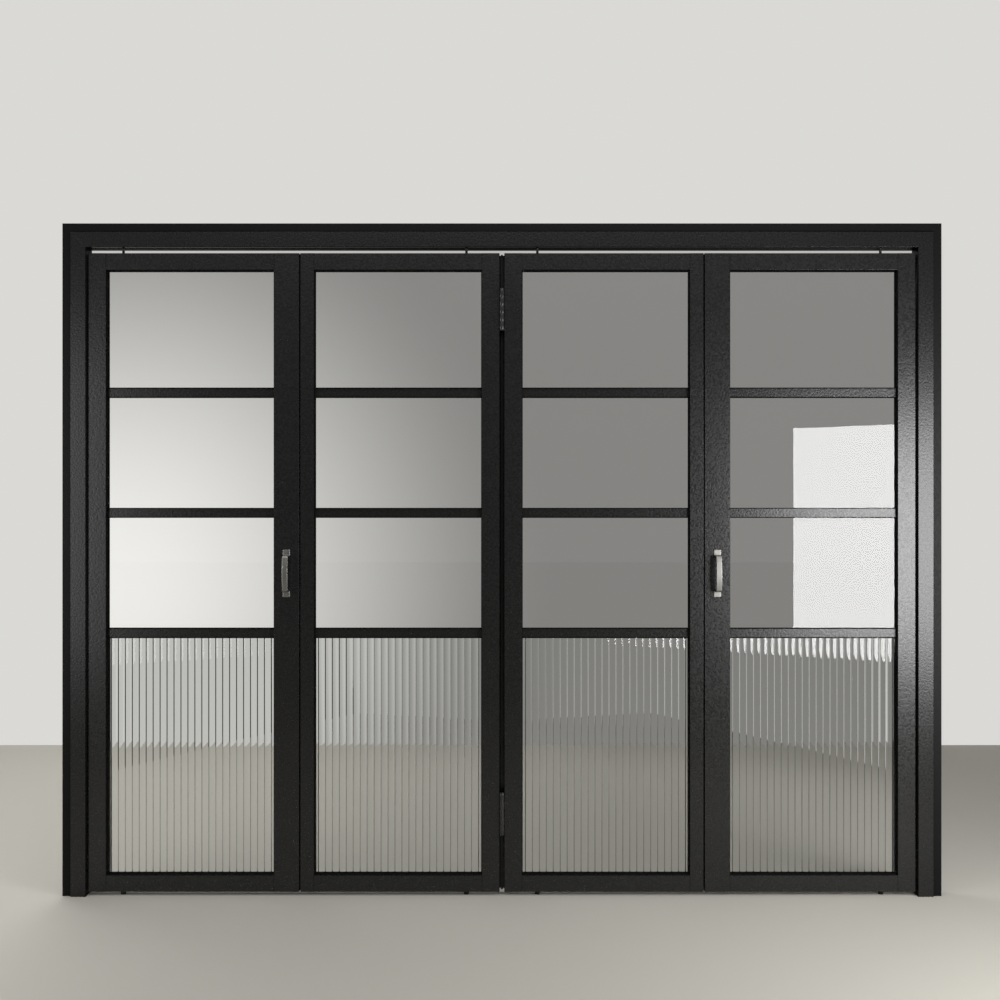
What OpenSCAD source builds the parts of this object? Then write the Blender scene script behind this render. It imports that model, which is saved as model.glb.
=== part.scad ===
// Four-leaf glazed folding door, closed in its lining.
// X runs along the width from the left wall face, Y runs from the front to the back and
// is zero at mid-depth, and Z runs up from the floor. Lengths are in millimetres.
// The door is symmetric about its centre: leaves 3 and 4 are mirrored leaves 2 and 1.

/* [Lining] */
// Overall width between the two wall faces
frame_w = 2725; // [2000:1:4000]
// Overall height above the floor
frame_h = 2085; // [1900:1:2600]
// Face width of the outer profile, which lies against the wall
wall_profile_w = 27; // [15:1:60]
// Depth of the outer profile
wall_profile_d = 44; // [24:1:58]
// Width of the shadow groove between the two profiles
shadow_w = 2.5; // [1:0.5:5]
// Depth of the shadow groove
shadow_d = 6; // [2:0.5:8]
// Face width of the inner profile, which makes the jambs and the head
jamb_w = 48; // [38:1:90]
// Depth of the inner profile
jamb_d = 60; // [40:1:100]
// Chamfer on the long edges of every profile
edge_c = 1; // [0.4:0.1:2]

/* [Fixings] */
// Diameter of the screw holes through the jambs and the profiles behind them
fixing_d = 7; // [4:0.5:10]
// Height of the lowest hole above the floor
fixing_rise = 180; // [100:1:400]
// Depth of the highest hole below the head
fixing_drop = 120; // [60:1:400]
// Number of holes in a jamb
fixing_count = 4; // [2:1:6]

/* [Track] */
// Outside width of the channel in the head
track_w = 28; // [26:1:34]
// Outside height of the channel
track_h = 26; // [20:1:30]
// Wall thickness of the channel
track_t = 2; // [1:0.1:2.5]
// Gap between the channel and the groove that holds it
track_fit = 0.3; // [0.1:0.1:0.8]

/* [Leaves] */
// Thickness of a leaf
leaf_t = 40; // [32:1:60]
// Gap between the leaves and the floor
floor_gap = 12; // [9:1:25]
// Gap between the leaves and the head
head_gap = 17; // [6:1:25]
// Gap between a jamb and its leaf
side_gap = 5; // [2:0.5:12]
// Gap between the two leaves of a folding pair
fold_gap = 3; // [2:0.5:8]
// Gap between the two pairs, at the centre
centre_gap = 15; // [12:0.5:24]
// Width of the plain stiles, at the jambs and at the centre
stile_w = 55; // [35:1:90]
// Width of the rebated stiles at a fold, measured at the back
fold_stile_w = 61; // [45:1:100]
// Width of the rebate by which the leaves of a pair overlap
fold_lap = 18; // [8:1:24]
// Gap between the two halves of the rebate, front to back
lap_fit = 1; // [0.4:0.1:3]
// Height of the top and bottom rails
rail_h = 52; // [46:1:120]

/* [Glazing] */
// Visible height of the reeded pane
reeded_h = 736; // [300:1:900]
// Height of a glazing bar
bar_h = 27; // [20:1:50]
// Depth of a glazing bar
bar_d = 10; // [9:0.5:24]
// Distance between the centres of the glazing bars
bar_pitch = 374; // [200:1:400]
// Number of glazing bars in a leaf
bar_count = 3; // [1:1:3]
// Thickness of the glass
glass_t = 6; // [4:0.5:6.5]
// Gap between the glass and its grooves
glass_fit = 0.5; // [0.2:0.1:0.8]
// Depth of the glass groove in the stiles and rails
glass_bite = 10; // [6:0.5:12]
// Depth of the glass groove in the bars
bar_bite = 8; // [4:0.5:9]
// Number of reeds across the visible pane, where the first and the last are cut in half
reed_count = 24; // [8:1:30]
// How much a reed is rounded up from its sides
reed_rise = 1.8; // [0.5:0.1:2.5]
// Width of the sharp cut between two reeds
reed_cut_w = 2.6; // [1:0.1:4]
// Depth of the cut below the sides of the reeds
reed_cut_d = 2.2; // [0.5:0.1:2.5]

/* [Hinges] */
// Length of a hinge
hinge_l = 130; // [80:1:200]
// Number of knuckles in a hinge
knuckle_count = 5; // [3:2:9]
// Gap between neighbouring knuckles
knuckle_gap = 0.4; // [0.2:0.1:1]
// Height of the middle of the lower hinges above the bottom of the leaves
hinge_rise = 243; // [120:1:500]
// Depth of the middle of the upper hinges below the top of the leaves
hinge_drop = 175; // [120:1:500]
// Gap between the barrel of a centre hinge and the stiles beside it
barrel_clear = 0.5; // [0.3:0.1:2]
// How far the axis of a centre hinge stands in front of the leaves
centre_axis_out = 2; // [0:0.5:8]
// Diameter of the barrel of a fold hinge
fold_barrel_d = 12; // [10:0.5:16]
// Diameter of the hinge pins
pin_d = 6; // [4:0.5:7]
// Gap round the hinge pins
pin_fit = 0.2; // [0.1:0.05:0.4]
// Thickness of the heads of a hinge pin
pin_head_t = 3; // [2:0.5:6]
// Thickness of the hinge plates
plate_t = 2.5; // [1.5:0.1:3]
// Width of a hinge plate of a centre hinge, from the axis
centre_plate_w = 26; // [12:1:26]
// Width of a hinge plate of a fold hinge, from the axis
fold_plate_w = 34; // [20:1:45]

/* [Centre cover strip] */
// Width of the strip that covers the centre gap from behind
cover_w = 40; // [30:1:80]
// Thickness of the strip
cover_t = 3; // [2:0.5:8]
// Thickness of the web that stands in the gap
cover_web_t = 6; // [3:0.5:8]
// Depth of the web into the gap
cover_web_d = 14; // [6:0.5:15]

/* [Pivots] */
// Distance from the pivots to the outer edges of their leaves
pivot_inset = 103; // [75:1:200]
// Diameter of the pivot pins
pivot_d = 8; // [6:0.5:10]
// Gap round the pivot pins
pivot_fit = 0.2; // [0.1:0.1:0.5]
// Length of pin inside a rail
pivot_bury = 32; // [15:1:34]
// Gap between the rollers and the walls of the track
roller_fit = 0.4; // [0.2:0.1:2]
// Thickness of the rollers
roller_t = 10; // [6:0.5:12]
// Diameter of the cups on the floor
cup_d = 16; // [13:0.5:30]
// Height of the cups
cup_h = 7; // [5:0.5:8]
// Thickness of the bottom of the cups
cup_t = 2; // [1:0.5:4]

/* [Handles] */
// Height of the middle of the handles above the floor
handle_z = 1000; // [800:1:1100]
// Overall length of a handle
handle_l = 147; // [110:1:240]
// Length of each foot of a handle
foot_l = 17; // [12:0.5:26]
// Width of the feet
foot_w = 22; // [18:0.5:30]
// Thickness of the feet
foot_t = 3; // [2:0.5:5]
// Width of the grip
grip_w = 17; // [12:0.5:18]
// Thickness of the strap that makes the grip
strap_t = 5; // [3:0.5:7]
// How far the middle of the grip stands out from the leaf
handle_out = 36; // [30:1:50]
// How much the grip is bowed between its ends
grip_bow = 6; // [2:0.5:8]
// Outer radius of the bends between the grip and its necks
bend_r = 9; // [6:0.5:14]

/* [Hidden] */

$fn = 48;
// Spare length that makes a cut run past the faces it goes through
over = 1;

// The clear opening of the lining and the height of the leaves in it
clear_x0 = wall_profile_w + jamb_w;
clear_w = frame_w - 2 * clear_x0;
clear_h = frame_h - wall_profile_w - jamb_w;
leaf_z0 = floor_gap;
leaf_z1 = clear_h - head_gap;
pane_z0 = leaf_z0 + rail_h;
pane_z1 = leaf_z1 - rail_h;
centre_x = frame_w / 2;
fixing_pitch = (clear_h - fixing_rise - fixing_drop) / (fixing_count - 1);

// All four panes are equally wide: what is left of the opening beside stiles and gaps
pane_w = (clear_w - 2 * side_gap - 2 * fold_gap - centre_gap) / 4 - stile_w - fold_stile_w;

// Plan of leaf 1, from the left jamb to the fold
leaf_1_x0 = clear_x0 + side_gap;
pane_1_x0 = leaf_1_x0 + stile_w;
pane_1_x1 = pane_1_x0 + pane_w;
leaf_1_x1 = pane_1_x1 + fold_stile_w;

// Plan of leaf 2, from the fold to the centre
leaf_2_x0 = leaf_1_x1 + fold_gap;
pane_2_x0 = leaf_2_x0 + fold_stile_w;
pane_2_x1 = pane_2_x0 + pane_w;
leaf_2_x1 = pane_2_x1 + stile_w;

fold_x = (leaf_1_x1 + leaf_2_x0) / 2;
hinge_heights = [leaf_z0 + hinge_rise, leaf_z1 - hinge_drop];
pivot_1_x = leaf_1_x0 + pivot_inset;
pivot_2_x = leaf_2_x1 - pivot_inset;
groove_w = glass_t + 2 * glass_fit;

// Bar i counts from the bottom, and pane i stands on it
function bar_z(i) = pane_z0 + reeded_h + bar_h / 2 + i * bar_pitch;
function clear_pane_z0(i) = bar_z(i) + bar_h / 2 - bar_bite + glass_fit;
function clear_pane_z1(i) = i < bar_count - 1
    ? bar_z(i + 1) - bar_h / 2 + bar_bite - glass_fit
    : pane_z1 + glass_bite - glass_fit;

// Mirrors the left half of the door to the right
module on_right() {
    translate([frame_w, 0, 0]) mirror([1, 0, 0]) children();
}

// Outline of a bar from corner a to corner b with chamfered corners
module chamfered(a, b) {
    polygon([
        [a.x + edge_c, a.y], [b.x - edge_c, a.y], [b.x, a.y + edge_c], [b.x, b.y - edge_c],
        [b.x - edge_c, b.y], [a.x + edge_c, b.y], [a.x, b.y - edge_c], [a.x, a.y + edge_c]
    ]);
}

// Turns an outline in X and Y to Y and Z, and runs it along X from x0 to x1
module along_x(x0, x1) {
    translate([x0, 0, 0]) rotate([90, 0, 90]) linear_extrude(x1 - x0) children();
}

// Turns an outline in X and Y to X and Z, with the depth d about mid-depth
module across_y(d) {
    rotate([90, 0, 0]) linear_extrude(d, center = true) children();
}

// Upright of the lining whose top is cut to a mitre
module mitred_upright(x0, w, d, h) {
    intersection() {
        linear_extrude(h) chamfered([x0, -d / 2], [x0 + w, d / 2]);
        across_y(d + 2 * over)
            polygon([[x0, 0], [x0 + w, 0], [x0 + w, h - w], [x0, h]]);
    }
}

// Crosspiece of the lining whose two ends are cut to a mitre
module mitred_crosspiece(x0, w, d, h) {
    x1 = frame_w - x0;
    intersection() {
        along_x(x0, x1) chamfered([-d / 2, h - w], [d / 2, h]);
        across_y(d + 2 * over)
            polygon([[x0 + w, h - w], [x1 - w, h - w], [x1, h], [x0, h]]);
    }
}

// Screw holes through the left side of the lining, from the clear opening to the wall
module fixing_holes() {
    for (i = [0 : fixing_count - 1])
        translate([-over, 0, fixing_rise + i * fixing_pitch])
            rotate([0, 90, 0]) cylinder(d = fixing_d, h = clear_x0 + 2 * over);
}

// The shadow grooves run in front and behind, where this profile meets the jamb
module wall_profile() {
    groove_l = frame_h - wall_profile_w + 2 * shadow_w;
    color("#202020") difference() {
        mitred_upright(0, wall_profile_w, wall_profile_d, frame_h);
        fixing_holes();
        for (side = [-1, 1])
            translate([wall_profile_w, side * wall_profile_d / 2, (frame_h - wall_profile_w) / 2])
                cube([2 * shadow_w, 2 * shadow_d, groove_l], center = true);
    }
}

module head_wall_profile() {
    groove_l = frame_w - 2 * wall_profile_w + 2 * shadow_w;
    color("#202020") difference() {
        mitred_crosspiece(0, wall_profile_w, wall_profile_d, frame_h);
        for (side = [-1, 1])
            translate([centre_x, side * wall_profile_d / 2, frame_h - wall_profile_w])
                cube([groove_l, 2 * shadow_d, 2 * shadow_w], center = true);
    }
}

module jamb() {
    color("#212121") difference() {
        mitred_upright(wall_profile_w, jamb_w, jamb_d, frame_h - wall_profile_w);
        fixing_holes();
    }
}

// The head has a groove from jamb to jamb for the track
module head() {
    groove = track_w / 2 + track_fit;
    color("#212121") difference() {
        mitred_crosspiece(wall_profile_w, jamb_w, jamb_d, frame_h - wall_profile_w);
        translate([clear_x0, -groove, clear_h - over])
            cube([clear_w, 2 * groove, track_h + track_fit + over]);
    }
}

// Channel with its open side down
module top_track() {
    color("#303030") along_x(clear_x0 + track_fit, clear_x0 + clear_w - track_fit)
        difference() {
            translate([-track_w / 2, clear_h]) square([track_w, track_h]);
            translate([-track_w / 2 + track_t, clear_h - over])
                square([track_w - 2 * track_t, track_h - track_t + over]);
        }
}

// Groove for the glass, cut into the side of a stile at x
module glass_groove(x) {
    translate([x - glass_bite, -groove_w / 2]) square([2 * glass_bite, groove_w]);
}

module stile(x0, x1, groove_x) {
    color("#232323") translate([0, 0, leaf_z0]) linear_extrude(leaf_z1 - leaf_z0)
        difference() {
            chamfered([x0, -leaf_t / 2], [x1, leaf_t / 2]);
            glass_groove(groove_x);
        }
}

module jamb_stile() {
    stile(leaf_1_x0, pane_1_x0, pane_1_x0);
}

module centre_stile() {
    stile(pane_2_x1, leaf_2_x1, pane_2_x1);
}

// The front half of this stile carries the lip that covers the joint of the pair
module lipped_stile() {
    color("#232323") translate([0, 0, leaf_z0]) linear_extrude(leaf_z1 - leaf_z0)
        difference() {
            union() {
                chamfered([pane_1_x1, -leaf_t / 2], [leaf_1_x1, leaf_t / 2]);
                chamfered([pane_1_x1, -leaf_t / 2], [leaf_1_x1 + fold_lap, -lap_fit / 2]);
            }
            glass_groove(pane_1_x1);
        }
}

// The front half of this stile is cut back to let the lip of its neighbour in
module tongued_stile() {
    color("#232323") translate([0, 0, leaf_z0]) linear_extrude(leaf_z1 - leaf_z0)
        difference() {
            union() {
                chamfered([leaf_2_x0 + fold_lap, -leaf_t / 2], [pane_2_x0, leaf_t / 2]);
                chamfered([leaf_2_x0, lap_fit / 2], [pane_2_x0, leaf_t / 2]);
            }
            glass_groove(pane_2_x0);
        }
}

// Rail between two stiles, with its glass groove at the height z and a bore for a pivot
module rail(x0, x1, z0, groove_z, pivot_x, bore_z0) {
    color("#232323") difference() {
        along_x(x0, x1) difference() {
            chamfered([-leaf_t / 2, z0], [leaf_t / 2, z0 + rail_h]);
            translate([-groove_w / 2, groove_z - glass_bite]) square([groove_w, 2 * glass_bite]);
        }
        translate([pivot_x, 0, bore_z0])
            cylinder(d = pivot_d + 2 * pivot_fit, h = pivot_bury + over);
    }
}

module top_rail(x0, x1, pivot_x) {
    rail(x0, x1, pane_z1, pane_z1, pivot_x, leaf_z1 - pivot_bury);
}

module bottom_rail(x0, x1, pivot_x) {
    rail(x0, x1, leaf_z0, pane_z0, pivot_x, leaf_z0 - over);
}

// Bars of H section, which hold the edge of a pane above and below
module glazing_bars(x0, x1) {
    color("#2a2a2a") for (i = [0 : bar_count - 1])
        along_x(x0, x1) translate([0, bar_z(i)]) difference() {
            square([bar_d, bar_h], center = true);
            for (side = [-1, 1])
                translate([0, side * bar_h / 2])
                    square([groove_w, 2 * bar_bite], center = true);
        }
}

module clear_panes(x0, x1) {
    reach = glass_bite - glass_fit;
    color("#c9d2d0", 0.35) for (i = [0 : bar_count - 1])
        translate([x0 - reach, -glass_t / 2, clear_pane_z0(i)])
            cube([x1 - x0 + 2 * reach, glass_t, clear_pane_z1(i) - clear_pane_z0(i)]);
}

// Plan of the reeded glass: a row of shallow arcs in front of a plain back, cut apart by V grooves
module reeded_outline(x0, x1) {
    reach = glass_bite - glass_fit;
    pitch = (x1 - x0) / reed_count;
    reed_r = (pitch * pitch / 4 + reed_rise * reed_rise) / (2 * reed_rise);
    valley_y = -glass_t / 2 + reed_rise;
    // The cut is as steep above the valley as below it, so that it leaves clean edges
    cut_out_w = reed_cut_w * (reed_cut_d + reed_rise) / reed_cut_d;
    difference() {
        intersection() {
            translate([x0 - reach, -glass_t / 2]) square([x1 - x0 + 2 * reach, glass_t]);
            union() for (i = [0 : reed_count])
                translate([x0 + i * pitch, reed_r - glass_t / 2]) circle(r = reed_r, $fn = 180);
        }
        for (i = [0 : reed_count - 1])
            translate([x0 + (i + 0.5) * pitch, valley_y])
                polygon([[0, reed_cut_d], [-cut_out_w / 2, -reed_rise], [cut_out_w / 2, -reed_rise]]);
    }
}

module reeded_pane(x0, x1) {
    z0 = pane_z0 - glass_bite + glass_fit;
    z1 = bar_z(0) - bar_h / 2 + bar_bite - glass_fit;
    color("#dfe6e4", 0.5) translate([0, 0, z0]) linear_extrude(z1 - z0)
        reeded_outline(x0, x1);
}

// Height of one knuckle with the gap above it
knuckle_pitch = (hinge_l - 2 * pin_head_t - knuckle_gap) / knuckle_count;
knuckle_z0 = -hinge_l / 2 + pin_head_t + knuckle_gap;

// Every second knuckle of a hinge, starting from knuckle k, as cylinders of diameter d
module knuckles(k, d, more = 0) {
    for (i = [k : 2 : knuckle_count - 1])
        translate([0, 0, knuckle_z0 + i * knuckle_pitch - more])
            cylinder(d = d, h = knuckle_pitch - knuckle_gap + 2 * more);
}

// One half of a hinge: the plate is the child, and its knuckles start from number k
module hinge_half(k, d) {
    difference() {
        union() {
            children();
            knuckles(k, d);
        }
        knuckles(1 - k, d + 2 * knuckle_gap, knuckle_gap);
        cylinder(d = pin_d + 2 * pin_fit, h = hinge_l, center = true);
    }
}

// Pin with a round head at both ends
module hinge_pin(d) {
    cylinder(d = pin_d, h = hinge_l, center = true);
    for (side = [-1, 1])
        translate([0, 0, side * (hinge_l - pin_head_t) / 2])
            cylinder(d = d, h = pin_head_t, center = true);
}

// Length of a hinge plate, from the first knuckle to the last
plate_l = hinge_l - 2 * pin_head_t - 2 * knuckle_gap;

// The plates lie on the edges of the two stiles, and the barrel stands at their front
module centre_hinge() {
    d = centre_gap - 2 * barrel_clear;
    color("#4a4a4a") {
        hinge_half(0, d) translate([-centre_gap / 2, 0, -plate_l / 2])
            cube([plate_t, centre_plate_w, plate_l]);
        hinge_half(1, d) translate([centre_gap / 2 - plate_t, 0, -plate_l / 2])
            cube([plate_t, centre_plate_w, plate_l]);
        hinge_pin(d);
    }
}

module centre_hinges() {
    for (z = hinge_heights)
        translate([centre_x, -leaf_t / 2 - centre_axis_out, z]) centre_hinge();
}

// The plates lie on the backs of the two stiles
module fold_hinge() {
    axis_y = fold_barrel_d / 2;
    color("#303030") {
        hinge_half(0, fold_barrel_d) translate([-fold_plate_w, -axis_y, -plate_l / 2])
            cube([fold_plate_w - fold_gap / 2, plate_t, plate_l]);
        hinge_half(1, fold_barrel_d) translate([fold_gap / 2, -axis_y, -plate_l / 2])
            cube([fold_plate_w - fold_gap / 2, plate_t, plate_l]);
        hinge_pin(fold_barrel_d);
    }
}

module fold_hinges() {
    for (z = hinge_heights)
        translate([fold_x, leaf_t / 2 + fold_barrel_d / 2, z]) fold_hinge();
}

// T section that closes the centre gap from behind
module centre_cover_strip() {
    color("#1c1c1c") translate([centre_x, leaf_t / 2, leaf_z0])
        linear_extrude(leaf_z1 - leaf_z0) {
            translate([-cover_w / 2, 0]) square([cover_w, cover_t]);
            translate([-cover_web_t / 2, -cover_web_d]) square([cover_web_t, cover_web_d]);
        }
}

// Calls its child at the four pivots
module at_pivots() {
    for (x = [pivot_1_x, pivot_2_x, frame_w - pivot_2_x, frame_w - pivot_1_x])
        translate([x, 0, 0]) children();
}

// Pin in the top rail, with a roller that runs in the track
module top_pivots() {
    roller_d = track_w - 2 * track_t - 2 * roller_fit;
    roller_z = clear_h + (track_h - track_t - roller_t) / 2;
    color("#383838") at_pivots() {
        translate([0, 0, leaf_z1 - pivot_bury])
            cylinder(d = pivot_d, h = roller_z + roller_t - leaf_z1 + pivot_bury + over);
        translate([0, 0, roller_z]) cylinder(d = roller_d, h = roller_t);
    }
}

module bottom_pivots() {
    color("#383838") at_pivots()
        translate([0, 0, cup_t + pivot_fit])
            cylinder(d = pivot_d, h = leaf_z0 + pivot_bury - cup_t - pivot_fit);
}

// Cup on the floor round the foot of each pivot
module floor_cups() {
    color("#2c2c2c") at_pivots() difference() {
        cylinder(d = cup_d, h = cup_h);
        translate([0, 0, cup_t]) cylinder(d = pivot_d + 2 * pivot_fit, h = cup_h);
    }
}

// Half the length of the bow, from the middle of the handle to a foot
bow_half = handle_l / 2 - foot_l;
// Radius of the outer arc of the grip
grip_r = (bow_half * bow_half + grip_bow * grip_bow) / (2 * grip_bow);

// Outer side view of the bow, which runs on behind the face of the leaf: x is the distance
// from the leaf and y is the height
module bow() {
    offset(r = bend_r) offset(delta = -bend_r) intersection() {
        translate([handle_out - grip_r, 0]) circle(r = grip_r, $fn = 360);
        translate([-3 * bend_r, -bow_half]) square([handle_out + 3 * bend_r, 2 * bow_half]);
    }
}

// Side view of the strap with its two feet
module handle_side() {
    intersection() {
        difference() {
            bow();
            offset(delta = -strap_t) bow();
        }
        translate([0, -bow_half]) square([handle_out, 2 * bow_half]);
    }
    for (side = [-1, 1])
        translate([foot_t / 2, side * (handle_l - foot_l - strap_t) / 2])
            square([foot_t, foot_l + strap_t], center = true);
}

// Front view of the handle, which is wider at its feet
module handle_front() {
    square([grip_w, handle_l], center = true);
    for (side = [-1, 1])
        translate([0, side * (handle_l - foot_l) / 2])
            square([foot_w, foot_l], center = true);
}

module handle() {
    lip_x1 = leaf_1_x1 + fold_lap;
    color("#5a5a5c") translate([(pane_1_x1 + lip_x1) / 2, -leaf_t / 2, handle_z])
        intersection() {
            rotate([90, 0, -90]) linear_extrude(foot_w, center = true) handle_side();
            rotate([90, 0, 0]) linear_extrude(handle_out + over) handle_front();
        }
}

wall_profile();  // left_wall_profile
on_right() wall_profile();  // right_wall_profile
head_wall_profile();
jamb();  // left_jamb
on_right() jamb();  // right_jamb
head();
top_track();

jamb_stile();  // leaf_1_jamb_stile
lipped_stile();  // leaf_1_fold_stile
top_rail(pane_1_x0, pane_1_x1, pivot_1_x);  // leaf_1_top_rail
bottom_rail(pane_1_x0, pane_1_x1, pivot_1_x);  // leaf_1_bottom_rail
glazing_bars(pane_1_x0, pane_1_x1);  // leaf_1_glazing_bars
clear_panes(pane_1_x0, pane_1_x1);  // leaf_1_clear_panes
reeded_pane(pane_1_x0, pane_1_x1);  // leaf_1_reeded_pane

tongued_stile();  // leaf_2_fold_stile
centre_stile();  // leaf_2_centre_stile
top_rail(pane_2_x0, pane_2_x1, pivot_2_x);  // leaf_2_top_rail
bottom_rail(pane_2_x0, pane_2_x1, pivot_2_x);  // leaf_2_bottom_rail
glazing_bars(pane_2_x0, pane_2_x1);  // leaf_2_glazing_bars
clear_panes(pane_2_x0, pane_2_x1);  // leaf_2_clear_panes
reeded_pane(pane_2_x0, pane_2_x1);  // leaf_2_reeded_pane

on_right() centre_stile();  // leaf_3_centre_stile
on_right() tongued_stile();  // leaf_3_fold_stile
on_right() top_rail(pane_2_x0, pane_2_x1, pivot_2_x);  // leaf_3_top_rail
on_right() bottom_rail(pane_2_x0, pane_2_x1, pivot_2_x);  // leaf_3_bottom_rail
on_right() glazing_bars(pane_2_x0, pane_2_x1);  // leaf_3_glazing_bars
on_right() clear_panes(pane_2_x0, pane_2_x1);  // leaf_3_clear_panes
on_right() reeded_pane(pane_2_x0, pane_2_x1);  // leaf_3_reeded_pane

on_right() lipped_stile();  // leaf_4_fold_stile
on_right() jamb_stile();  // leaf_4_jamb_stile
on_right() top_rail(pane_1_x0, pane_1_x1, pivot_1_x);  // leaf_4_top_rail
on_right() bottom_rail(pane_1_x0, pane_1_x1, pivot_1_x);  // leaf_4_bottom_rail
on_right() glazing_bars(pane_1_x0, pane_1_x1);  // leaf_4_glazing_bars
on_right() clear_panes(pane_1_x0, pane_1_x1);  // leaf_4_clear_panes
on_right() reeded_pane(pane_1_x0, pane_1_x1);  // leaf_4_reeded_pane

fold_hinges();  // left_fold_hinges
centre_hinges();
on_right() fold_hinges();  // right_fold_hinges
centre_cover_strip();
top_pivots();
bottom_pivots();
floor_cups();
handle();  // left_handle
on_right() handle();  // right_handle
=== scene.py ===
"""Looks of a four-leaf glazed folding door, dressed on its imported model.

X runs along the width from the left wall face, Y from the front to the back, Z up from the floor.
Lengths are in metres, and in millimetres where a name ends in _mm.
"""

import math

import bmesh
import bpy
from mathutils import Matrix, Vector


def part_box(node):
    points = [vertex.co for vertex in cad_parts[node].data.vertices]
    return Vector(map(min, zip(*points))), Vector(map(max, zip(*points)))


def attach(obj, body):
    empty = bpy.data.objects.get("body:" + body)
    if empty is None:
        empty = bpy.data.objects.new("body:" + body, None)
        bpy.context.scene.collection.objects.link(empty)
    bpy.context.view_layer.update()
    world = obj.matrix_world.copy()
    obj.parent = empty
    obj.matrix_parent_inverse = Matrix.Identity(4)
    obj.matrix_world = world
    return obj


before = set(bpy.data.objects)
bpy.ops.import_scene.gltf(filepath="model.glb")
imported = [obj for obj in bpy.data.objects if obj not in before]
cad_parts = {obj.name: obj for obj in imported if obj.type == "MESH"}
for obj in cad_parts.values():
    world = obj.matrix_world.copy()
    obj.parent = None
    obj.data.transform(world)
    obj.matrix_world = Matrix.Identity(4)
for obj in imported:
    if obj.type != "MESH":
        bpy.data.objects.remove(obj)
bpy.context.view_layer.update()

MM = 0.001
LEAVES = ("leaf_1", "leaf_2", "leaf_3", "leaf_4")
FRONT = -1
BACK = 1

# Glazing: three bars across each leaf, and a rubber bead round every pane
BAR_COUNT = 3
BAR_H = 27 * MM
BEAD_W = 3 * MM
BEAD_H = 9 * MM
BEAD_ROUND = 1.6 * MM

# Screws of the fold hinges
SCREW_D = 8.5 * MM
SCREW_H = 2.2 * MM
SOCKET_D = 4.2 * MM
SOCKET_DEPTH = 1.4 * MM
SCREWS_PER_PLATE = 3
HINGE_L = 130 * MM
PLATE_T = 2.5 * MM
SCREW_EDGE = 16 * MM
SCREW_OUT = 22 * MM


def linear(colour):
    """Linear RGBA of an sRGB hex colour such as #A0B0C0."""
    parts = [int(colour[i:i + 2], 16) / 255 for i in (1, 3, 5)]
    return (*[c / 12.92 if c <= 0.04045 else ((c + 0.055) / 1.055) ** 2.4 for c in parts], 1.0)


def per_metre(size_mm):
    """Scale of a texture whose features are size_mm across."""
    return 1000 / size_mm


def add(tree, kind, inputs=None, **settings):
    """Adds a node; an input that is given a socket is linked to it, and any other value is set."""
    node = tree.nodes.new(kind)
    for name, value in settings.items():
        setattr(node, name, value)
    for name, value in (inputs or {}).items():
        if isinstance(value, bpy.types.NodeSocket):
            tree.links.new(value, node.inputs[name])
        else:
            node.inputs[name].default_value = value
    return node


def new_material(name):
    """An empty material and its node tree."""
    material = bpy.data.materials.new(name)
    material.use_nodes = True
    material.node_tree.nodes.clear()
    return material, material.node_tree


def show(tree, shader):
    """Ends a material with its surface shader."""
    add(tree, "ShaderNodeOutputMaterial", {"Surface": shader})


def frontal_share(tree):
    """1 on faces that look to the front or back, down to 0 on those that look aside, up or down."""
    normal = add(tree, "ShaderNodeNewGeometry").outputs["True Normal"]
    axes = add(tree, "ShaderNodeSeparateXYZ", {"Vector": normal})
    return add(tree, "ShaderNodeMath", {0: axes.outputs["Y"]}, operation="ABSOLUTE").outputs["Value"]


def powder_coat(name, colour, cloud, roughness, ripple_mm=6, shine=0.5, shaded_side_shine=0.01):
    """Polyester powder on metal, sprayed dry and melted in an oven.

    It gives an even satin colour whose highlights are broken up by a ripple like orange peel.
    The ripple of the real coat is 1 to 3 mm across: on the frames it is drawn at 6 mm, so that
    it shows. Faces that look aside, up or down, such as the sides of gaps and rebates, get a far
    lower specular level than the faces in front and behind: painted shade, so they read as black lines.
    """
    material, tree = new_material(name)
    place = add(tree, "ShaderNodeTexCoord").outputs["Object"]
    drift = add(tree, "ShaderNodeTexNoise", {"Vector": place, "Scale": per_metre(260), "Detail": 2})
    ripple = add(tree, "ShaderNodeTexNoise", {"Vector": place, "Scale": per_metre(ripple_mm), "Detail": 1})
    tone = add(tree, "ShaderNodeMix", {
        "Factor": drift.outputs["Fac"], "A": linear(colour), "B": linear(cloud),
    }, data_type="RGBA")
    gloss = add(tree, "ShaderNodeMapRange", {
        "Value": ripple.outputs["Fac"], "From Min": 0.3, "From Max": 0.7,
        "To Min": roughness - 0.05, "To Max": roughness + 0.05,
    })
    # painted shade: the specular level drops on faces that look aside, up or down, so gaps read black
    cover = add(tree, "ShaderNodeMapRange", {
        "Value": frontal_share(tree), "From Min": 0.8, "From Max": 0.95,
        "To Min": shaded_side_shine, "To Max": shine,
    })
    bump = add(tree, "ShaderNodeBump", {
        "Height": ripple.outputs["Fac"], "Strength": 1, "Distance": 0.065 * ripple_mm * MM,
    })
    shader = add(tree, "ShaderNodeBsdfPrincipled", {
        "Base Color": tone.outputs["Result"], "Roughness": gloss.outputs["Result"],
        "Normal": bump.outputs["Normal"], "IOR": 1.5,
        "Specular IOR Level": cover.outputs["Result"],
    })
    show(tree, shader.outputs["BSDF"])
    return material


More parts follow.
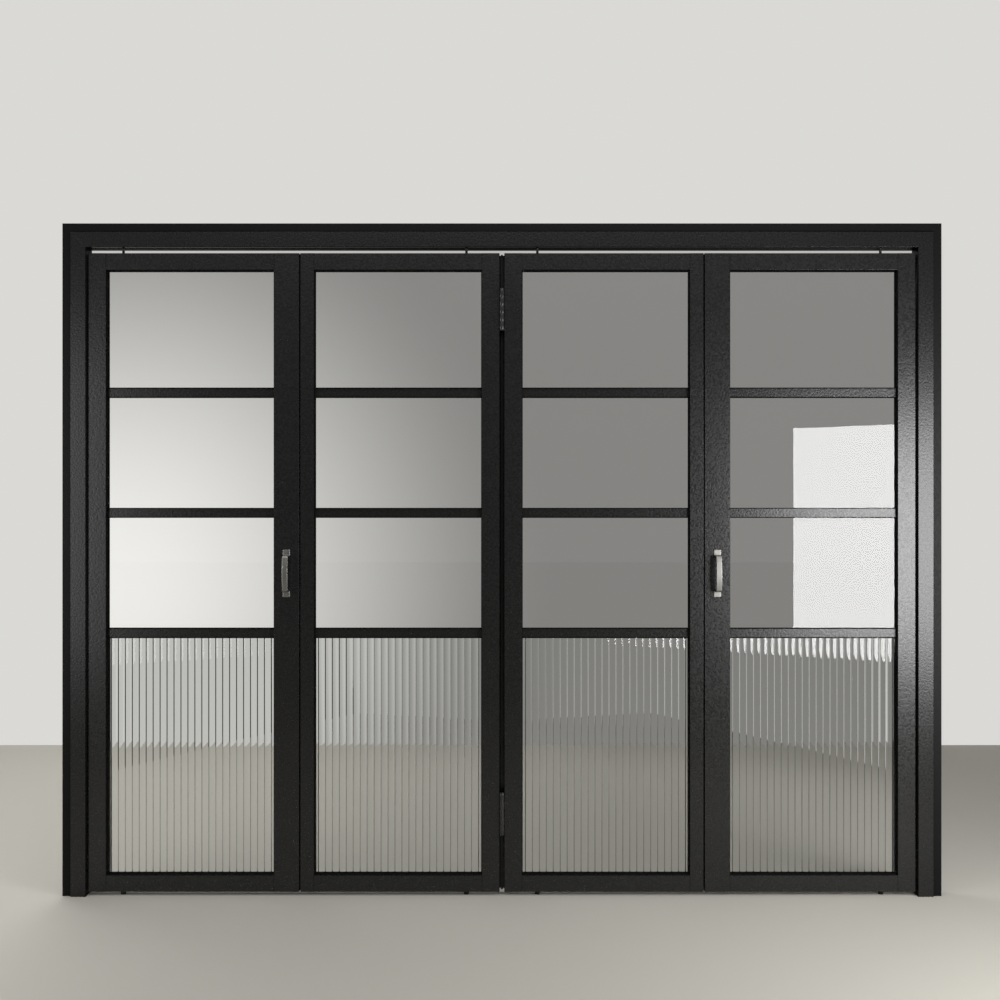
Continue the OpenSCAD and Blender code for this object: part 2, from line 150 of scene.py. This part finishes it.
def float_glass():
    """Clear float glass, floated flat on tin and toughened.

    It is nearly invisible but for its mirror image of the room, which the rollers of the
    toughening furnace leave very slightly wavy.
    """
    material, tree = new_material("clear float glass")
    place = add(tree, "ShaderNodeTexCoord").outputs["Object"]
    wave = add(tree, "ShaderNodeTexNoise", {"Vector": place, "Scale": per_metre(350), "Detail": 0})
    bump = add(tree, "ShaderNodeBump", {
        "Height": wave.outputs["Fac"], "Strength": 1, "Distance": 0.012 * MM,
    })
    shader = add(tree, "ShaderNodeBsdfPrincipled", {
        "Base Color": linear("#F8F8F7"), "Roughness": 0, "IOR": 1.5,
        "Transmission Weight": 1, "Normal": bump.outputs["Normal"],
    })
    show(tree, shader.outputs["BSDF"])
    return material


def reeded_glass():
    """Cast glass, rolled hot between a plain and a fluted roller.

    Its reeds break the view into narrow upright bands, and the rolled skin is a little less
    clear than float glass. Faces that look well aside, the walls of the cuts between the reeds,
    are tinted grey: painted shade that draws thin darker lines.
    """
    material, tree = new_material("reeded cast glass")
    place = add(tree, "ShaderNodeTexCoord").outputs["Object"]
    skin = add(tree, "ShaderNodeTexNoise", {"Vector": place, "Scale": per_metre(12), "Detail": 2})
    bump = add(tree, "ShaderNodeBump", {
        "Height": skin.outputs["Fac"], "Strength": 0.3, "Distance": 0.05 * MM,
    })
    # painted shade: faces of the reeds that look well aside are tinted grey
    valley_shade = add(tree, "ShaderNodeMapRange", {
        "Value": frontal_share(tree), "From Min": 0.8, "From Max": 0.6,
    })
    tone = add(tree, "ShaderNodeMix", {
        "Factor": valley_shade.outputs["Result"], "A": linear("#F2F3F1"), "B": linear("#A6A6A4"),
    }, data_type="RGBA")
    shader = add(tree, "ShaderNodeBsdfPrincipled", {
        "Base Color": tone.outputs["Result"], "Roughness": 0.02, "IOR": 1.5,
        "Transmission Weight": 1, "Normal": bump.outputs["Normal"],
    })
    show(tree, shader.outputs["BSDF"])
    return material


def brushed_metal(name, colour, streak, roughness, streak_mm, bump_mm):
    """Metal rubbed along its length, so that its highlights are drawn out across the streaks.

    The streaks of the real finish are finer than a pixel: they are drawn wide enough to show.
    """
    material, tree = new_material(name)
    place = add(tree, "ShaderNodeTexCoord").outputs["Object"]
    along = add(tree, "ShaderNodeMapping", {"Vector": place, "Scale": (1, 1, 0.03)})
    grain = add(tree, "ShaderNodeTexNoise", {
        "Vector": along.outputs["Vector"], "Scale": per_metre(streak_mm), "Detail": 4,
    })
    tone = add(tree, "ShaderNodeMix", {
        "Factor": grain.outputs["Fac"], "A": linear(colour), "B": linear(streak),
    }, data_type="RGBA")
    gloss = add(tree, "ShaderNodeMapRange", {
        "Value": grain.outputs["Fac"], "From Min": 0.3, "From Max": 0.7,
        "To Min": roughness - 0.05, "To Max": roughness + 0.05,
    })
    bump = add(tree, "ShaderNodeBump", {
        "Height": grain.outputs["Fac"], "Strength": 0.4, "Distance": bump_mm * MM,
    })
    shader = add(tree, "ShaderNodeBsdfPrincipled", {
        "Base Color": tone.outputs["Result"], "Roughness": gloss.outputs["Result"],
        "Metallic": 1, "Normal": bump.outputs["Normal"],
    })
    show(tree, shader.outputs["BSDF"])
    return material


def sealing_rubber():
    """EPDM rubber, extruded: dull, with a soft bloom that hides most reflections."""
    material, tree = new_material("extruded EPDM rubber")
    place = add(tree, "ShaderNodeTexCoord").outputs["Object"]
    bloom = add(tree, "ShaderNodeTexNoise", {"Vector": place, "Scale": per_metre(8), "Detail": 3})
    tone = add(tree, "ShaderNodeMix", {
        "Factor": bloom.outputs["Fac"], "A": linear("#0B0B0B"), "B": linear("#151514"),
    }, data_type="RGBA")
    bump = add(tree, "ShaderNodeBump", {
        "Height": bloom.outputs["Fac"], "Strength": 0.3, "Distance": 0.1 * MM,
    })
    shader = add(tree, "ShaderNodeBsdfPrincipled", {
        "Base Color": tone.outputs["Result"], "Roughness": 0.75, "Specular IOR Level": 0.01,
        "Normal": bump.outputs["Normal"],
    })
    show(tree, shader.outputs["BSDF"])
    return material


def finishes():
    """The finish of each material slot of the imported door."""
    return {
        "lining_black": powder_coat(
            "satin black powder coat of the lining", "#0C0C0C", "#101010", 0.29, shine=0.43,
        ),
        "leaf_black": powder_coat("satin black powder coat of the leaves", "#0D0D0D", "#121212", 0.29),
        "bar_black": powder_coat("satin black powder coat of the bars", "#0E0E0E", "#131312", 0.29),
        "cover_black": powder_coat("black powder coat of the cover strip", "#0B0B0B", "#0F0F0F", 0.35),
        "clear_glass": float_glass(),
        "reeded_glass": reeded_glass(),
        "hinge_dark": powder_coat(
            "black dipped steel of the hinges", "#1D1D1D", "#262626", 0.2, ripple_mm=1, shaded_side_shine=0.5,
        ),
        "handle_grey": brushed_metal("satin nickel plated zinc", "#84837F", "#92918C", 0.38, 1.6, 0.005),
        "track_aluminium": brushed_metal("dark anodised aluminium", "#303030", "#3C3C3C", 0.4, 3, 0.01),
        "pivot_steel": brushed_metal("blackened steel", "#262625", "#333332", 0.4, 2, 0.01),
    }


def soften(node, width, segments=2):
    """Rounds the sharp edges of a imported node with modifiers, which leave its own mesh as it is."""
    node.modifiers.new("merged corners", "WELD").merge_threshold = 0.01 * MM
    flat = node.modifiers.new("whole faces", "DECIMATE")
    flat.decimate_type = "DISSOLVE"
    flat.angle_limit = math.radians(0.2)
    edge = node.modifiers.new("rounded edges", "BEVEL")
    edge.limit_method = "ANGLE"
    edge.angle_limit = math.radians(30)
    edge.width = width
    edge.segments = segments
    edge.profile = 0.5


EDGE_WIDTHS = {
    "lining_black": 0.3 * MM, "leaf_black": 0.25 * MM, "bar_black": 0.4 * MM, "cover_black": 0.4 * MM,
    "hinge_dark": 0.3 * MM, "handle_grey": 1.2 * MM, "track_aluminium": 0.3 * MM, "pivot_steel": 0.3 * MM,
}


def dress_nodes(finish_of):
    """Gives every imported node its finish, and the metal ones their softened edges."""
    # painted shade: the wall profiles get a darker, duller copy of the lining's coat, for the shade that the
    # wall reveal casts on them
    profile_shade_finish = powder_coat(
        "wall profile powder coat, dulled as painted shade", "#080808", "#0B0B0B", 0.5, shine=0.12,
    )
    for name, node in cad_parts.items():
        slot = node.data.materials[0].name
        node.material_slots[0].material = profile_shade_finish if name.endswith("wall_profile") else finish_of[slot]
        if slot in EDGE_WIDTHS:
            soften(node, EDGE_WIDTHS[slot])


def new_piece(name, mesh, material):
    """Turns a bmesh into a piece that rides on the door."""
    bmesh.ops.recalc_face_normals(mesh, faces=mesh.faces)
    data = bpy.data.meshes.new(name)
    mesh.to_mesh(data)
    mesh.free()
    data.materials.append(material)
    piece = bpy.data.objects.new(name, data)
    bpy.context.scene.collection.objects.link(piece)
    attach(piece, "root")
    return piece


def add_bead(mesh, x0, x1, z0, z1, glass_y, side):
    """Adds a bead of rubber round an opening, on the face of the glass; side is FRONT or BACK."""
    place = (
        Matrix.Translation(((x0 + x1) / 2, glass_y, (z0 + z1) / 2))
        @ Matrix.Diagonal((x1 - x0, 1, z1 - z0, 1))
        @ Matrix.Rotation(math.radians(90), 4, "X")
    )
    made = bmesh.ops.create_grid(mesh, x_segments=1, y_segments=1, size=0.5, matrix=place)
    opening = made["verts"][0].link_faces[0]
    ring = bmesh.ops.inset_region(mesh, faces=[opening], thickness=BEAD_W, use_boundary=True)["faces"]
    inner_edges = list(opening.edges)
    bmesh.ops.delete(mesh, geom=[opening], context="FACES_ONLY")
    raised = bmesh.ops.extrude_face_region(mesh, geom=ring)["geom"]
    top_verts = [g for g in raised if isinstance(g, bmesh.types.BMVert)]
    bmesh.ops.translate(mesh, verts=top_verts, vec=(0, side * BEAD_H, 0))
    over = [e for e in mesh.edges if all(v in top_verts for v in e.verts) and above_inner(e, inner_edges)]
    bmesh.ops.bevel(
        mesh, geom=over, offset=BEAD_ROUND, affect="EDGES", segments=3, profile=0.5, material=-1,
    )


def above_inner(edge, inner_edges):
    """True if the edge lies over one of the inner edges of a bead."""
    middle = (edge.verts[0].co + edge.verts[1].co) / 2
    for inner in inner_edges:
        other = (inner.verts[0].co + inner.verts[1].co) / 2
        if abs(middle.x - other.x) < 0.1 * MM and abs(middle.z - other.z) < 0.1 * MM:
            return True
    return False


def add_leaf_beads(leaf, rubber):
    """Beads in front of and behind all four panes of a leaf."""
    sill_low, sill_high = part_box(f"{leaf}_bottom_rail")
    head_low, head_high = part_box(f"{leaf}_top_rail")
    bars_low, bars_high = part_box(f"{leaf}_glazing_bars")
    glass_low, glass_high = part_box(f"{leaf}_clear_panes")
    pitch = (bars_high.z - bars_low.z - BAR_H) / (BAR_COUNT - 1)
    edges = [sill_high.z]
    for i in range(BAR_COUNT):
        edges += [bars_low.z + i * pitch, bars_low.z + i * pitch + BAR_H]
    edges.append(head_low.z)
    mesh = bmesh.new()
    for z0, z1 in zip(edges[0::2], edges[1::2]):
        add_bead(mesh, sill_low.x, sill_high.x, z0, z1, glass_low.y, FRONT)
        add_bead(mesh, sill_low.x, sill_high.x, z0, z1, glass_high.y, BACK)
    return new_piece(f"{leaf}_glazing_beads", mesh, rubber)


def add_screw(mesh, x, y, z):
    """Adds a pan head with a hexagon socket, which lies on a plate whose face is at y."""
    place = Matrix.Translation((x, y + SCREW_H / 2, z)) @ Matrix.Rotation(math.radians(-90), 4, "X")
    made = bmesh.ops.create_cone(
        mesh, cap_ends=True, segments=24, radius1=SCREW_D / 2, radius2=SCREW_D / 2, depth=SCREW_H,
        matrix=place,
    )
    verts = set(made["verts"])
    top = max((f for f in mesh.faces if verts.issuperset(f.verts)), key=lambda f: f.calc_center_median().y)
    rim = list(top.edges)
    bmesh.ops.inset_region(mesh, faces=[top], thickness=(SCREW_D - SOCKET_D) / 2)
    floor = bmesh.ops.extrude_face_region(mesh, geom=[top])["geom"]
    floor_verts = [g for g in floor if isinstance(g, bmesh.types.BMVert)]
    bmesh.ops.translate(mesh, verts=floor_verts, vec=(0, -SOCKET_DEPTH, 0))
    if top.is_valid:
        bmesh.ops.delete(mesh, geom=[top], context="FACES_ONLY")
    bmesh.ops.bevel(
        mesh, geom=rim, offset=0.7 * MM, affect="EDGES", segments=3, profile=0.5, material=-1,
    )


def add_hinge_screws(side, material):
    """Screws of the two fold hinges on one side of the door."""
    low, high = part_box(f"{side}_fold_hinges")
    fold_x = (low.x + high.x) / 2
    mesh = bmesh.new()
    for middle in (low.z + HINGE_L / 2, high.z - HINGE_L / 2):
        for x in (fold_x - SCREW_OUT, fold_x + SCREW_OUT):
            for i in range(SCREWS_PER_PLATE):
                reach = HINGE_L / 2 - SCREW_EDGE
                z = middle + reach * (2 * i / (SCREWS_PER_PLATE - 1) - 1)
                add_screw(mesh, x, low.y + PLATE_T, z)
    return new_piece(f"{side}_fold_hinge_screws", mesh, material)


# Studio: where the photograph was taken from, and what stands round the door
CAMERA_PLACE = (1.3565, -3.758, 1.2275)
CAMERA_LENS_MM = 43.4
CAMERA_SENSOR_MM = 36
FLOOR_SIZE = 40
BACKDROP_Y = 2.28
BACKDROP_X0 = -1.35
BACKDROP_X1 = 4.1
BACKDROP_H = 4.0
# Painted pool of light on the backdrop, and where it is held down near the floor
GLOW_X = -0.6
GLOW_Z = 0.8
GLOW_RADIUS = 2.25
PALE_TOP = (2.36, 2.56)
PALE_LEFT = (-0.63, -0.82)
PALE_RIGHT = (3.38, 3.6)
LOW_GLOW = (0.54, 0.58)
LOW_GLOW_LIMIT = 0.5
WING_L = 2.0
WING_H = 2.6


def add_camera():
    """Camera at the photograph's viewing angle, level and square to the door."""
    data = bpy.data.cameras.new("camera")
    data.lens = CAMERA_LENS_MM
    data.sensor_width = CAMERA_SENSOR_MM
    camera = bpy.data.objects.new("camera", data)
    camera.location = CAMERA_PLACE
    camera.rotation_euler = (math.radians(90), 0, 0)
    bpy.context.scene.collection.objects.link(camera)
    bpy.context.scene.camera = camera


def add_area_lamp(name, place, width, height, radiance):
    """Rectangular lamp that isn't seen itself, only its light and its mirror image."""
    data = bpy.data.lights.new(name, "AREA")
    data.shape = "RECTANGLE"
    data.size = width
    data.size_y = height
    data.energy = 4 * width * height * radiance
    lamp = bpy.data.objects.new(name, data)
    lamp.matrix_world = place
    lamp.visible_camera = False
    lamp.visible_transmission = False
    bpy.context.scene.collection.objects.link(lamp)


def add_softbox(name, near, far, z0, z1, radiance):
    """Upright softbox from one plan point to another, which faces the door."""
    run = Vector(far) - Vector(near)
    centre = (Vector(near) + Vector(far)) / 2
    facing = Vector((run.y, -run.x, 0)) if run.x < 0 else Vector((-run.y, run.x, 0))
    turn = facing.to_track_quat("-Z", "Y").to_matrix().to_4x4()
    place = Matrix.Translation((centre.x, centre.y, (z0 + z1) / 2)) @ turn
    add_area_lamp(name, place, run.length, z1 - z0, radiance)


def add_top_light(name, centre, aim, width, depth, radiance):
    """Soft light from above."""
    turn = (Vector(aim) - Vector(centre)).to_track_quat("-Z", "Y").to_matrix().to_4x4()
    add_area_lamp(name, Matrix.Translation(centre) @ turn, width, depth, radiance)


def add_lights():
    """A bright softbox at the right, a dim one at the left, and soft light from above."""
    add_softbox("right softbox", (2.756, -2.0), (3.75, -1.205), 0.507, 1.569, 10.9)
    add_softbox("left softbox", (-0.58, -2.0), (-2.8, -0.22), 0.45, 2.0, 2.1)
    add_top_light("front top light", (1.36, -1.3, 3.3), (1.36, 0.1, 0.9), 3.0, 1.4, 2)
    add_top_light("rear top light", (-0.5, 1.3, 3.2), (-0.3, 0.9, 0.0), 2.0, 1.2, 7)


def add_world():
    """Even light from all round, dimmer towards the horizon; the camera sees it pale and plain."""
    world = bpy.data.worlds.new("studio")
    bpy.context.scene.world = world
    world.use_nodes = True
    tree = world.node_tree
    tree.nodes.clear()
    direction = add(tree, "ShaderNodeTexCoord").outputs["Generated"]
    height = add(tree, "ShaderNodeSeparateXYZ", {"Vector": direction})
    lift = add(tree, "ShaderNodeMapRange", {
        "Value": height.outputs["Z"], "From Min": 0, "From Max": 0.35,
    }, interpolation_type="SMOOTHSTEP")
    light = add(tree, "ShaderNodeMix", {
        "Factor": lift.outputs["Result"], "A": linear("#444444"), "B": linear("#9A9A9A"),
    }, data_type="RGBA")
    path = add(tree, "ShaderNodeLightPath")
    seen = add(tree, "ShaderNodeMath", {
        0: path.outputs["Is Camera Ray"], 1: path.outputs["Is Transmission Ray"],
    }, operation="MAXIMUM")
    tone = add(tree, "ShaderNodeMix", {
        "Factor": seen.outputs["Value"], "A": light.outputs["Result"], "B": linear("#D2D2D0"),
    }, data_type="RGBA")
    sky = add(tree, "ShaderNodeBackground", {"Color": tone.outputs["Result"], "Strength": 1})
    add(tree, "ShaderNodeOutputWorld", {"Surface": sky.outputs["Background"]})


def add_plane(name, width, depth, place, material):
    """Flat stage piece, width by depth, turned and moved by a matrix."""
    mesh = bmesh.new()
    bmesh.ops.create_grid(
        mesh, x_segments=1, y_segments=1, size=0.5, matrix=place @ Matrix.Diagonal((width, depth, 1, 1)),
    )
    data = bpy.data.meshes.new(name)
    mesh.to_mesh(data)
    mesh.free()
    data.materials.append(material)
    plane = bpy.data.objects.new(name, data)
    bpy.context.scene.collection.objects.link(plane)
    return plane


def floor_paint():
    """Matt floor paint: an even pale greige."""
    material, tree = new_material("matt floor paint")
    shader = add(tree, "ShaderNodeBsdfPrincipled", {
        "Base Color": linear("#A8A59D"), "Roughness": 0.8, "IOR": 1.45,
    })
    show(tree, shader.outputs["BSDF"])
    return material


def backdrop_with_painted_glow():
    """Studio paper, open from behind, with a painted pool of light.

    Behind the glass a painted glow, held down below LOW_GLOW, makes it pale at the left and grey
    at the right; it is pale round the door, and camera, glossy and transmission rays see it glow by itself.
    """
    material, tree = new_material("studio paper with painted glow")
    place = add(tree, "ShaderNodeTexCoord").outputs["Object"]
    # painted light: a round pool of light about GLOW_X, GLOW_Z, held to half strength below LOW_GLOW
    about_glow = add(tree, "ShaderNodeMapping", {
        "Vector": place, "Location": (GLOW_X, BACKDROP_Y, GLOW_Z), "Scale": (GLOW_RADIUS,) * 3,
    }, vector_type="TEXTURE")
    ball = add(tree, "ShaderNodeTexGradient", {
        "Vector": about_glow.outputs["Vector"],
    }, gradient_type="SPHERICAL")
    glow = add(tree, "ShaderNodeMapRange", {
        "Value": ball.outputs["Fac"],
    }, interpolation_type="SMOOTHSTEP")
    axes = add(tree, "ShaderNodeSeparateXYZ", {"Vector": place})
    limit = add(tree, "ShaderNodeMapRange", {
        "Value": axes.outputs["Z"], "From Min": LOW_GLOW[0], "From Max": LOW_GLOW[1],
        "To Min": LOW_GLOW_LIMIT, "To Max": 1,
    })
    dimmed = add(tree, "ShaderNodeMath", {
        0: glow.outputs["Result"], 1: limit.outputs["Result"],
    }, operation="MINIMUM")
    side_tone = add(tree, "ShaderNodeMix", {
        "Factor": dimmed.outputs["Value"], "A": linear("#878684"), "B": linear("#FBFAF7"),
    }, data_type="RGBA")
    around = 0
    for axis, (start, end) in (("Z", PALE_TOP), ("X", PALE_LEFT), ("X", PALE_RIGHT)):
        margin = add(tree, "ShaderNodeMapRange", {
            "Value": axes.outputs[axis], "From Min": start, "From Max": end,
        }, interpolation_type="SMOOTHSTEP")
        around = add(tree, "ShaderNodeMath", {
            0: around, 1: margin.outputs["Result"],
        }, operation="MAXIMUM").outputs["Value"]
    tone = add(tree, "ShaderNodeMix", {
        "Factor": around, "A": side_tone.outputs["Result"], "B": linear("#DAD9D6"),
    }, data_type="RGBA")
    path = add(tree, "ShaderNodeLightPath")
    mirrored = add(tree, "ShaderNodeMath", {
        0: path.outputs["Is Glossy Ray"], 1: path.outputs["Is Transmission Ray"],
    }, operation="MAXIMUM")
    seen = add(tree, "ShaderNodeMath", {
        0: path.outputs["Is Camera Ray"], 1: mirrored.outputs["Value"],
    }, operation="MAXIMUM")
    paper = add(tree, "ShaderNodeBsdfDiffuse", {"Color": tone.outputs["Result"]})
    lit = add(tree, "ShaderNodeEmission", {"Color": tone.outputs["Result"], "Strength": 1})
    face = add(tree, "ShaderNodeMixShader", {
        0: seen.outputs["Value"], 1: paper.outputs["BSDF"], 2: lit.outputs["Emission"],
    })
    clear = add(tree, "ShaderNodeBsdfTransparent")
    behind = add(tree, "ShaderNodeNewGeometry")
    both = add(tree, "ShaderNodeMixShader", {
        0: behind.outputs["Backfacing"], 1: face.outputs["Shader"], 2: clear.outputs["BSDF"],
    })
    show(tree, both.outputs["Shader"])
    return material


def add_wing(name, x, colour):
    """Upright wing at one end of the backdrop, which only the bent rays in the reeds reach: a sheet
    that glows by itself, as painted shade where dark and painted light where pale.
    """
    place = (
        Matrix.Translation((x, BACKDROP_Y - WING_L / 2, WING_H / 2))
        @ Matrix.Rotation(math.radians(90), 4, "Z")
        @ Matrix.Rotation(math.radians(90), 4, "X")
    )
    wing = add_plane(name, WING_L, WING_H, place, wing_glow_sheet(f"{name} paper", colour))
    wing.visible_camera = False
    wing.visible_glossy = False
    wing.visible_diffuse = False
    wing.visible_shadow = False


def wing_glow_sheet(name, colour):
    """Sheet that glows its colour by itself, though it is no lamp."""
    material, tree = new_material(name)
    lit = add(tree, "ShaderNodeEmission", {"Color": linear(colour), "Strength": 1})
    show(tree, lit.outputs["Emission"])
    return material


def add_stage():
    """Pale floor, and a backdrop with a painted glow behind the door, with a glowing wing at each end:
    dark as painted shade at the left, pale as painted light at the right.
    """
    add_plane("floor", FLOOR_SIZE, FLOOR_SIZE, Matrix.Translation((1.36, 0, 0)), floor_paint())
    upright = Matrix.Translation(((BACKDROP_X0 + BACKDROP_X1) / 2, BACKDROP_Y, BACKDROP_H / 2))
    upright = upright @ Matrix.Rotation(math.radians(90), 4, "X")
    add_plane("backdrop", BACKDROP_X1 - BACKDROP_X0, BACKDROP_H, upright, backdrop_with_painted_glow())
    # painted shade at the left and painted light at the right, seen only through the glass
    add_wing("left wing", BACKDROP_X0, "#303030")
    add_wing("right wing", BACKDROP_X1, "#E8E8E6")


finish_of_slot = finishes()
dress_nodes(finish_of_slot)
rubber = sealing_rubber()
for leaf in LEAVES:
    add_leaf_beads(leaf, rubber)
for side in ("left", "right"):
    add_hinge_screws(side, finish_of_slot["hinge_dark"])

add_camera()
add_lights()
add_world()
add_stage()
bpy.context.scene.view_settings.view_transform = "Standard"
